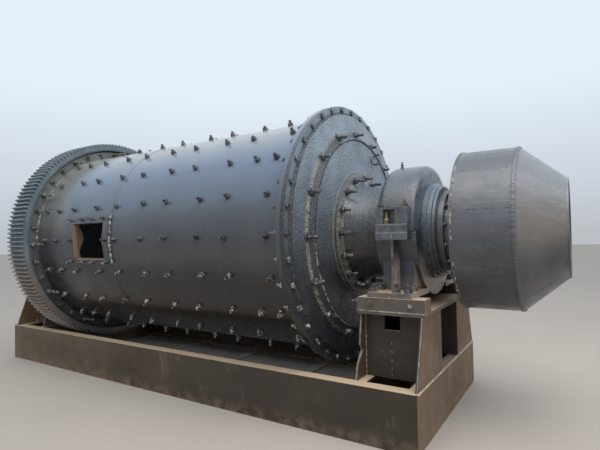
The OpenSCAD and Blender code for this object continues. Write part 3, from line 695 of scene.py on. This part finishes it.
TRUNNION_WORN = (
    (0.508, 0.048, 1.0, (0.36, 0.32, 0.27)),
    (0.390, 0.080, 0.12, (0.20, 0.21, 0.20)),
)
SEAL_WORN = (
    (0.30, 0.10, 0.3, (0.20, 0.235, 0.27)),
)
# Pale wear, and painted highlights along the edges of the cover's steps
COVER_WEAR_AND_HIGHLIGHT = (
    (0.927, 0.013, 0.8, PALE_WEAR_AND_HIGHLIGHT),
    (1.101, 0.001, 0.4, PALE_WEAR_AND_HIGHLIGHT),
    (0.568, 0.010, 0.9, PALE_WEAR_AND_HIGHLIGHT),
)
# Painted shade: dark lines beside the cover's steps and on its ramp
COVER_SHADE_RINGS = (
    (0.888, 0.022, 0.8, (0.045, 0.052, 0.058)),
    (1.111, 0.006, 0.75, (0.04, 0.047, 0.055)),
    (0.859, 0.004, 1.0, BLACK),
)
FINISH = {
    "shell_paint": shell_paint("shell_paint", inside_shell),
    "frame_paint": shell_paint("frame_paint", frame_opening),
    "cast_paint": cast_paint("cast_paint", 0.5, 0.42, 0.5, TRUNNION_WORN),
    "cap_paint": cast_paint("cap_paint", 0.35, 0.40, 0.6, sheen_low=0.2, lugs=True),
    "seal_paint": cast_paint("seal_paint", 0.6, 0.9, 1.8, SEAL_WORN),
    "cover_paint": cast_paint("cover_paint", 1.3, 0.45, 1.0, COVER_WEAR_AND_HIGHLIGHT, COVER_SHADE_RINGS, sheen_low=0.0,
                              ior_level=0.45, coat=0.15, face=COVER_FACE_SHEEN),
    "housing_paint": housing_paint(),
    "gear_steel": gear_paint(),
    "base_paint": base_paint("base_paint"),
    "rail_paint": base_paint("rail_paint", 0.3),
    "ground_dust": floor_finish("ground_dust"),
    "feeder_paint": feeder_paint(),
    "liner_steel": liner_steel(),
    "bush_metal": bush_metal(),
}
FASTENER = fastener_paint()
BASE_FASTENER = plain_metal("base_fastener_paint", (0.030, 0.031, 0.032), (0.14, 0.125, 0.105), 0.6)
# Bright welds, and the painted highlight lines on the covers
WELD_AND_HIGHLIGHT = plain_metal("weld_and_highlight_metal", (0.06, 0.06, 0.06), BRIGHT, 0.45)
# Pale cut edges, partly painted highlights
CUT_EDGE_AND_HIGHLIGHT = plain_metal("cut_edge_and_highlight", (0.14, 0.12, 0.10), (0.27, 0.24, 0.20), 0.65, 0.35, 0.65)
LIP_HIGHLIGHT = plain_metal("lip_highlight", (0.07, 0.08, 0.10), (0.22, 0.24, 0.27), 0.4, 0.35, 0.6)
SEAM_PAINT = plain_metal("seam_paint", (0.020, 0.020, 0.022), (0.09, 0.09, 0.095), 0.4, 0.45, 0.6)
SPECKLED_WELD = plain_metal("speckled_weld", (0.06, 0.06, 0.06), (0.38, 0.37, 0.28), 0.5, 0.52, 0.62)
DUSTY_WELD = plain_metal("dusty_weld", (0.12, 0.10, 0.08), (0.33, 0.28, 0.22), 0.7)
OLD_BRASS = plain_metal("old_brass", (0.05, 0.038, 0.02), (0.20, 0.145, 0.065), 0.45)
RAIL_BOLT = plain_metal("rail_bolt_paint", (0.07, 0.06, 0.055), (0.32, 0.30, 0.26), 0.45, 0.42, 0.6)
LEDGE_DUST = plain_metal("ledge_dust", (0.30, 0.24, 0.17), (0.50, 0.41, 0.30), 0.8, 0.3, 0.6)
YELLOW_ZINC = plain_metal("yellow_zinc", (0.10, 0.085, 0.045), (0.36, 0.30, 0.14), 0.5)
STUD_PAINT = plain_metal("stud_paint", (0.045, 0.05, 0.05), (0.30, 0.31, 0.25), 0.42, 0.45, 0.6)

# Starts of node names, and the finish of those nodes; the first that fits counts
NODE_FINISH = (
    (("sill", "end_sill", "cross_member", "pedestal"), "base_paint"),
    (("bed_",), "rail_paint"),
    (("low_ties",), "ground_dust"),
    (("bearing_bush",), "bush_metal"),
    (("bearing_block",), "housing_paint"),
    (("end_cover",), "cover_paint"),
    (("bearing_cap",), "cap_paint"),
    (("bearing_seals",), "seal_paint"),
    (("trunnion",), "cast_paint"),
    (("girth_gear",), "gear_steel"),
    (("shell_liner", "end_liner"), "liner_steel"),
    (("manhole",), "frame_paint"),
    (("shell",), "shell_paint"),
    (("feeder", "discharge_spout"), "feeder_paint"),
)
SOFT_EDGED = ("sill", "end_sill", "cross_member", "pedestal", "bed_", "bearing_block", "bearing_cap",
              "low_ties")


def finish_nodes():
    for name, piece in nodes.items():
        for starts, finish in NODE_FINISH:
            if name.startswith(starts):
                piece.data.materials.clear()
                piece.data.materials.append(FINISH[finish])
                break


def soften_edges(width=0.004):
    """Rounds the sharp edges of the welded and cast parts, inside their own outline."""
    for name, piece in nodes.items():
        if name.startswith(SOFT_EDGED):
            soft = piece.modifiers.new("edges", "BEVEL")
            soft.width = width
            soft.segments = 2
            soft.limit_method = "ANGLE"
            soft.angle_limit = math.radians(50)


# Small parts of the drum

LINER_ROWS = 20
ROW_TURN = -1.0
ROW_A = (-1.5975, -1.3675, -1.0775, -0.6575, -0.3375, 0.0725, 0.3925, 0.8125, 1.1225, 1.5425)
ROW_B = (-1.5675, -1.1475, -0.8475, -0.4475, -0.1075, 0.3025, 0.6125, 1.0325, 1.3325, 1.5325)
MANHOLE_ROWS = {
    10.3: (-1.049, -0.849, -0.682, -0.484),
    -1.1: (-1.035, -0.440),
    -13.0: (-1.078, -0.855, -0.673, -0.450),
}
FLANGE_BOLTS = 36
COVER_STUDS = 16
NECK_BOLTS = 12
FEEDER_SEAMS = (43.4, 12.5, -12.6, -44, 74, 104, 133, 163, 192, 222, 253, 285)


def stray(draw, most):
    return draw.uniform(-most, most)


def shell_bolts():
    """Liner bolts in rows along the drum, and the bolts round the manhole."""
    draw = random.Random(11)
    shape = Shape()
    for row in range(LINER_ROWS):
        degrees = ROW_TURN + row * 360 / LINER_ROWS
        for x in ROW_B if row % 2 == 0 and row else ROW_A:
            if row == 0 and FRAME_LOW[0] - 0.02 < x < FRAME_HIGH[0] + 0.02:
                continue
            at = on_drum(x + stray(draw, 0.008), SHELL_R - SEATING, degrees + stray(draw, 0.3))
            tilt = outward(degrees) + Vector((stray(draw, 0.04), 0, stray(draw, 0.04)))
            fastener(shape, at, tilt, LINER_BOLT, draw.uniform(0.014, 0.028), draw)
    shape.build("shell_bolts", "mill", "shell_paint", FASTENER)
    shape = Shape()
    for degrees, row in MANHOLE_ROWS.items():
        for x in row:
            at = on_drum(x, -FRAME_LOW[1] - 0.003, degrees)
            fastener(shape, at, outward(degrees), MANHOLE_BOLT, draw.uniform(0.030, 0.045), draw)
    shape.build("manhole_bolts", "mill", "shell_paint", FASTENER)


def flange_bolts():
    """Bolts through the feed flange, and through the other flange and the gear's web."""
    draw = random.Random(23)
    pitch = 360 / FLANGE_BOLTS
    head_x = HEAD_X[1] + FLANGE_T
    nut_x = HEAD_X[1] - FLANGE_T
    shape = Shape()
    for k in range(FLANGE_BOLTS):
        degrees = pitch * k
        fastener(shape, on_drum(head_x, FLANGE_BOLT_R, degrees), (1, 0, 0), FLANGE_HEAD, 0, draw)
        fastener(shape, on_drum(nut_x, FLANGE_BOLT_R, degrees), (-1, 0, 0), FLANGE_NUT,
                 draw.uniform(0.015, 0.045), draw)
    shape.build("flange_bolts_feed", "mill", "cast_paint", FASTENER)
    shape = Shape()
    radius = FLANGE_BOLT_R - 0.008
    web_x = HEAD_X[-1] - 2 * FLANGE_T
    for k in range(FLANGE_BOLTS):
        degrees = pitch * k - 3
        proud = draw.uniform(0.16, 0.20) if k % 3 == 0 else draw.uniform(0.02, 0.045)
        fastener(shape, on_drum(GEAR_FLANGE_X, radius, degrees), (1, 0, 0), GEAR_NUT, proud, draw)
        fastener(shape, on_drum(web_x, radius, degrees), (-1, 0, 0), GEAR_HEAD,
                 draw.uniform(0.01, 0.03), draw)
    shape.build("flange_bolts_discharge", "mill", "gear_steel", STUD_PAINT)


def on_cover(way, place, degrees):
    """Point on an end cover, from its face outside the shell's end and its radius."""
    return on_drum(HEAD_X[way] + way * place[0], place[1], degrees)


def cover_parts():
    """Studs, edge lines of the raised ring, which are painted highlights, and the lifting eye of both end
    covers.
    """
    draw = random.Random(37)
    pitch = 360 / COVER_STUDS
    # Pale lip on the upper arc and bright lines on the lower arcs: painted highlights on the raised ring
    ring_edges = (
        ("cover_lip_", LIP_HIGHLIGHT, 0.008, ((62, 150),)),
        ("cover_edge_highlight_", WELD_AND_HIGHLIGHT, 0.004, ((-75, -5), (205, 255))),
    )
    for name, way in ENDS:
        shape = Shape()
        for k in range(COVER_STUDS):
            fastener(shape, on_cover(way, COVER_BOLTS, pitch * k - 2), (way, 0, 0), COVER_NUT,
                     draw.uniform(0.04, 0.07), draw)
            fastener(shape, on_cover(way, TRUNNION_BOLTS, pitch * k), (way, 0, 0), TRUNNION_NUT,
                     draw.uniform(0.05, 0.08), draw)
        shape.build("cover_studs_" + name, "mill", "cast_paint", FASTENER)
        for piece, metal, size, arcs in ring_edges:
            shape = Shape()
            for start, end in arcs:
                ring_bead(shape, HEAD_X[way] + way * RAISED_RING[0], RAISED_RING[1], (way, 0), size, draw,
                          start, end, rough=0.1, height=1.6)
            shape.build(piece + name, "mill", "cast_paint", metal)
        lifting_eye(way).build("lifting_eye_" + name, "mill", "cast_paint", FASTENER)


def lifting_eye(way, degrees=111, steps=28):
    """Ring on a short shank, screwed into the cover inside its raised ring."""
    shape = Shape()
    foot = on_cover(way, LIFTING_EYE, degrees)
    shape.add(lathe([(0.024, 0), (0.024, 0.010), (0.016, 0.016)], 16), facing((way, 0, 0), foot))
    ring = []
    for i in range(steps):
        turn = math.tau * i / steps
        ring.append(foot + Vector((way * (0.056 - 0.044 * math.cos(turn)), 0, 0))
                    + outward(degrees) * 0.055 * math.sin(turn))
    closed_tube(shape, ring, 0.010)
    return shape


def drum_welds():
    draw = random.Random(41)
    shape = Shape()
    ring_bead(shape, SEAM_X, SHELL_R, (0, 1), 0.005, draw)
    ring_bead(shape, HEAD_X[1] - FLANGE_T, SHELL_R, (-1, 1), 0.010, draw)
    ring_bead(shape, GEAR_FLANGE_X, SHELL_R, (1, 1), 0.012, draw)
    shape.build("drum_welds", "mill", "shell_paint", FINISH["shell_paint"])
    shape = Shape()
    high = math.degrees(math.asin((FRAME_HIGH[2] - AXIS_Z) / -FRAME_LOW[1]))
    low = math.degrees(math.asin((FRAME_LOW[2] - AXIS_Z) / -FRAME_LOW[1]))
    for x, lean, size in ((FRAME_HIGH[0], 1, 0.013), (FRAME_LOW[0], -1, 0.007)):
        ring_bead(shape, x, SHELL_R + 0.004, (lean, 1), size, draw, low, high, rough=0.5, wander=0.002)
    for degrees, way in ((high, 1), (low, -1)):
        line_bead(shape, on_drum(FRAME_LOW[0], SHELL_R + 0.002, degrees),
                  on_drum(FRAME_HIGH[0], SHELL_R + 0.002, degrees),
                  outward(degrees) + outward(degrees + 90 * way), 0.007, draw, rough=0.4)
    ring_bead(shape, GEAR_FLANGE_X + 0.004, SHELL_R + 0.010, (1, 0.4), 0.007, draw, -2, 21, rough=0.4)
    shape.build("manhole_welds", "mill", "shell_paint", WELD_AND_HIGHLIGHT)


def feeder_welds():
    """Welds of the feeder, and the bolts of its neck and of the spout."""
    draw = random.Random(43)
    shape = Shape()
    ring_bead(shape, FEEDER_X[1], FEEDER_R - 0.002, (0.45, 1), 0.014, draw, step=0.4, pitch=0.018, rough=0.22,
              wander=0.001, height=0.4)
    shape.build("feeder_edge_weld", "mill", "feeder_paint", FINISH["feeder_paint"])
    shape = Shape()
    for degrees in FEEDER_SEAMS:
        line_bead(shape, on_drum(FEEDER_X[0] + 0.02, FEEDER_R - 0.002, degrees),
                  on_drum(FEEDER_X[1] - 0.01, FEEDER_R - 0.002, degrees), outward(degrees), 0.0045, draw,
                  rough=0.4, height=0.5)
    shape.build("feeder_seams", "mill", "feeder_paint", SEAM_PAINT)
    shape = Shape()
    ring_bead(shape, FEEDER_X[0] + 0.012, FEEDER_R, (0.4, 1), 0.008, draw, rough=0.4, wander=0.002,
              height=0.5)
    shape.build("feeder_back_weld", "mill", "feeder_paint", SPECKLED_WELD)
    for piece, slot, x, radius, way, size, proud in (
            ("feeder_neck_bolts", "feeder_paint", NECK_FLANGE_X, 0.3145, 1, NECK_BOLT, 0.010),
            ("spout_bolts", "cast_paint", SPOUT_FLANGE_X, 0.3, -1, SPOUT_BOLT, 0.012)):
        shape = Shape()
        for k in range(NECK_BOLTS):
            fastener(shape, on_drum(x, radius, 360 / NECK_BOLTS * k + 9), (way, 0, 0), size, proud, draw)
        shape.build(piece, "mill", slot, FASTENER)


# Small parts of the bearings and the base

# Edges of the pedestals' cross plates as (y, z), from the top down
OUTER_EDGE = ((0.718, LEG_HIGH[2]), (0.880, LEG_LOW[2]))
INNER_EDGE = ((0.690, LEG_HIGH[2]), (0.718, 0.741), (0.728, 0.654), (0.690, 0.610), (0.744, 0.557),
              (0.784, 0.504), (0.806, LEG_LOW[2]))
# Side plate of a leg, the dots down its middle, and the seams of the sills
SIDE_PLATE_Y = 0.640
DOT_X = 2.380
DOT_ROW = (0.43, 0.475, 0.53, 0.60, 0.665)
SILL_Y = 0.9070
SILL_SEAMS = (2.467, -2.467, 0.31)


def bearing_bolts():
    """Bolts of caps, housings and rails, the small plates by them and the grease fittings."""
    draw = random.Random(53)
    lug_y = CAP_HIGH[1]
    lug_x = (BEARING_X - 0.125, BEARING_X + 0.125)
    lug_z = AXIS_Z + 0.178
    foot_z = RAIL_HIGH[2] + 0.038
    foot_x = (BLOCK_LOW[0] + 0.038, BLOCK_HIGH[0] - 0.036)
    plate_t = 0.012
    for name, s in ENDS:
        dark = Shape()
        yellow = Shape()
        pale = Shape()
        for side in (-1, 1):
            for x in (lug_x[0] + 0.030, lug_x[1] - 0.028):
                fastener(dark, Vector((s * x, side * (lug_y - 0.045), lug_z)), (0, 0, 1), CAP_BOLT,
                         draw.uniform(0.02, 0.03), draw)
            dark.add(plate([(s * (lug_x[1] - 0.058), side * (lug_y - y), lug_z + z) for y, z in (
                (0.030, -0.001), (0.115, -0.001), (0.125, 0.058))], plate_t))
            pocket = Vector((s * (lug_x[0] + 0.074), side * (lug_y - 0.045), AXIS_Z + 0.058))
            fastener(yellow, pocket, (0, 0, 1), POCKET_BOLT, 0.055, draw)
            for x in (foot_x[0], BEARING_X + 0.045, foot_x[1]):
                fastener(dark, Vector((s * x, side * (BLOCK_HIGH[1] - 0.042), foot_z)), (0, 0, 1), FOOT_BOLT,
                         draw.uniform(0.012, 0.03), draw)
            for x in foot_x:
                fastener(dark, Vector((s * x, side * 0.53, foot_z)), (0, 0, 1), FOOT_BOLT, 0.02, draw)
            for x, z in ((2.248, 0.974), (2.556, 0.968)):
                at = Vector((s * x, side * RAIL_HIGH[1], z))
                fastener(pale, at, (0, side, 0), RAIL_SIDE_BOLT, 0.006, draw)
            dark.add(plate([(s * (RAIL_LOW[0] - plate_t / 2), side * (RAIL_HIGH[1] - y), z) for y, z in (
                (0.002, RAIL_HIGH[2] - 0.004), (0.060, RAIL_HIGH[2] - 0.004),
                (0.060, RAIL_LOW[2] - 0.012), (0.002, RAIL_LOW[2] - 0.012))], plate_t))
            at = Vector((s * (RAIL_LOW[0] - plate_t), side * (RAIL_HIGH[1] - 0.030), RAIL_HIGH[2] - 0.035))
            fastener(dark, at, (-s, 0, 0), RAIL_END_BOLT, 0.030, draw)
        dark.build("bearing_bolts_" + name, "base", "cast_paint", BASE_FASTENER)
        yellow.build("pocket_bolts_" + name, "base", "cast_paint", YELLOW_ZINC)
        pale.build("rail_bolts_" + name, "base", "base_paint", RAIL_BOLT)
        grease_fitting(s).build("grease_fitting_" + name, "base", "bush_metal", OLD_BRASS)


def grease_fitting(s, off=0.10):
    """Fitting near the top of the cap, off to the near side."""
    shape = Shape()
    top = Vector((s * (BEARING_X - 0.081), -off, AXIS_Z + math.sqrt(CAP_R ** 2 - off ** 2) - 0.003))
    profile = [(0.016, 0), (0.016, 0.010), (0.009, 0.012), (0.009, 0.022), (0.013, 0.025),
               (0.013, 0.036), (0.006, 0.039), (0.006, 0.047), (0.008, 0.050), (0.006, 0.058)]
    shape.add(lathe(profile, 12), facing(Vector((0.1, -0.2, 1)), top))
    return shape


def base_welds():
    """Cut edges, which are pale also as painted highlight, welds and dusty edges of the pedestals and sills.
    """
    draw = random.Random(61)
    plate_t = 0.022
    top_z = LEG_HIGH[2]
    floor_z = BASE_HIGH[2]
    for name, s in ENDS:
        cut = Shape()
        welds = Shape()
        for side in (-1, 1):
            # Pale beads on the plate edges: cut edges and painted highlights
            for x, edge in ((LEG_LOW[0] + 0.010, INNER_EDGE), (LEG_HIGH[0] - 0.010, OUTER_EDGE)):
                for (y0, z0), (y1, z1) in zip(edge, edge[1:]):
                    line_bead(cut, (s * x, side * (y0 - 0.0005), z0), (s * x, side * (y1 - 0.0005), z1),
                              (0, side, 0.25), 0.0055, draw, rough=0.15, wander=0.0006, height=0.5)
            rail_y = side * RAIL_HIGH[1]
            line_bead(cut, (s * RAIL_LOW[0], rail_y, RAIL_LOW[2]), (s * RAIL_HIGH[0], rail_y, RAIL_LOW[2]),
                      (0, side, 0.4), 0.006, draw, rough=0.4)
            plate_y = side * SIDE_PLATE_Y
            for x in (LEG_LOW[0] + plate_t, LEG_HIGH[0] - plate_t):
                line_bead(welds, (s * x, plate_y, floor_z), (s * x, plate_y, top_z),
                          (s * (BEARING_X - x), side * 0.3, 0), 0.008, draw, rough=0.4)
            dot_y = side * (SIDE_PLATE_Y - 0.001)
            for z in DOT_ROW:
                line_bead(cut, (s * DOT_X, dot_y, z), (s * DOT_X, dot_y, z + 0.016), (0, side, 0),
                          0.003, draw, step=0.004)
            line_bead(welds, (s * LEG_LOW[0], side * 0.27, floor_z), (s * LEG_LOW[0], side * 0.80, floor_z),
                      (-s, 0, 1), 0.007, draw)
        cut.build("cut_edges_" + name, "base", "base_paint", CUT_EDGE_AND_HIGHLIGHT)
        welds.build("pedestal_welds_" + name, "base", "base_paint", DUSTY_WELD)
        ledge = Shape()
        line_bead(ledge, (s * LEG_HIGH[0], BASE_LOW[1] + 0.004, floor_z - 0.003),
                  (s * LEG_HIGH[0], -BASE_LOW[1] - 0.004, floor_z - 0.003), (s, 0, 0.5), 0.011, draw,
                  step=0.012, rough=0.12, height=0.6)
        ledge.build("ledge_dust_" + name, "base", "base_paint", LEDGE_DUST)
    seams = Shape()
    for side in (-1, 1):
        for x in SILL_SEAMS:
            line_bead(seams, (x, side * SILL_Y, 0.03), (x, side * SILL_Y, 0.385), (0, side, 0), 0.006, draw,
                      rough=0.3)
    seams.build("sill_seams", "base", "base_paint", FINISH["base_paint"])
    toes = Shape()
    for side in (-1, 1):
        y = -side * BASE_HIGH[1]
        line_bead(toes, (-1.6, y, 0.010), (1.6, y, 0.010), (0, -side, 0.3), 0.008, draw, step=0.02)
    toes.build("sill_toe_edges", "base", "base_paint", DUSTY_WELD)


# Stage

def make_camera():
    """Camera at the place, and with the lens and turns, that match the view of the mill."""
    data = bpy.data.cameras.new("camera")
    data.lens = 26.67
    data.sensor_width = 36
    data.clip_end = 200
    camera = bpy.data.objects.new("camera", data)
    bpy.context.scene.collection.objects.link(camera)
    yaw, pitch, roll = (math.radians(d) for d in (32.208, 1.618, -1.082))
    ahead = Vector((-math.sin(yaw) * math.cos(pitch), math.cos(yaw) * math.cos(pitch), math.sin(pitch)))
    level = ahead.cross(Vector((0, 0, 1))).normalized()
    above = level.cross(ahead)
    right = math.cos(roll) * level + math.sin(roll) * above
    up = math.cos(roll) * above - math.sin(roll) * level
    camera.matrix_world = Matrix.Translation((3.6019, -3.8363, 1.4758)) @ Matrix(
        (right, up, -ahead)).transposed().to_4x4()
    bpy.context.scene.camera = camera


def make_floor(size=60):
    mesh = bpy.data.meshes.new("floor")
    corners = [(-size, -size, 0), (size, -size, 0), (size, size, 0), (-size, size, 0)]
    mesh.from_pydata(corners, [], [(0, 1, 2, 3)])
    mesh.materials.append(floor_finish("floor_finish"))
    floor = bpy.data.objects.new("floor", mesh)
    bpy.context.scene.collection.objects.link(floor)


def add_lamp(name, watts, size, spot, target):
    lamp = bpy.data.lights.new(name, "AREA")
    lamp.energy = watts
    lamp.color = (1.0, 0.98, 0.95)
    lamp.size = size
    piece = bpy.data.objects.new(name, lamp)
    bpy.context.scene.collection.objects.link(piece)
    piece.matrix_world = facing(Vector(spot) - Vector(target), Vector(spot))


def make_light():
    """Pale sky, a little darker at the horizon, and two large soft lamps."""
    world = bpy.data.worlds.new("sky")
    bpy.context.scene.world = world
    world.use_nodes = True
    tree = world.node_tree
    background = tree.nodes["Background"]
    where = tree.nodes.new("ShaderNodeTexCoord")
    split = tree.nodes.new("ShaderNodeSeparateXYZ")
    ramp = tree.nodes.new("ShaderNodeValToRGB")
    tree.links.new(where.outputs["Generated"], split.inputs["Vector"])
    tree.links.new(split.outputs["Z"], ramp.inputs["Fac"])
    tree.links.new(ramp.outputs["Color"], background.inputs["Color"])
    steps = ((0.0, (0.50, 0.52, 0.55)), (0.10, (0.60, 0.65, 0.72)), (0.30, (0.78, 0.87, 0.97)),
             (0.75, (0.80, 0.88, 0.96)))
    for i, (position, colour) in enumerate(steps):
        stop = ramp.color_ramp.elements[i] if i < 2 else ramp.color_ramp.elements.new(position)
        stop.position = position
        stop.color = (*colour, 1)
    add_lamp("overhead", 420, 7, (2.5, -3.5, 9.0), (0.0, -0.5, 1.0))
    add_lamp("feed_end", 200, 5, (6.5, -1.0, 6.5), (1.8, 0.0, 1.4))
    bpy.context.scene.view_settings.view_transform = "Standard"


make_camera()
make_floor()
make_light()
finish_nodes()
soften_edges()
shell_bolts()
flange_bolts()
cover_parts()
drum_welds()
feeder_welds()
bearing_bolts()
base_welds()
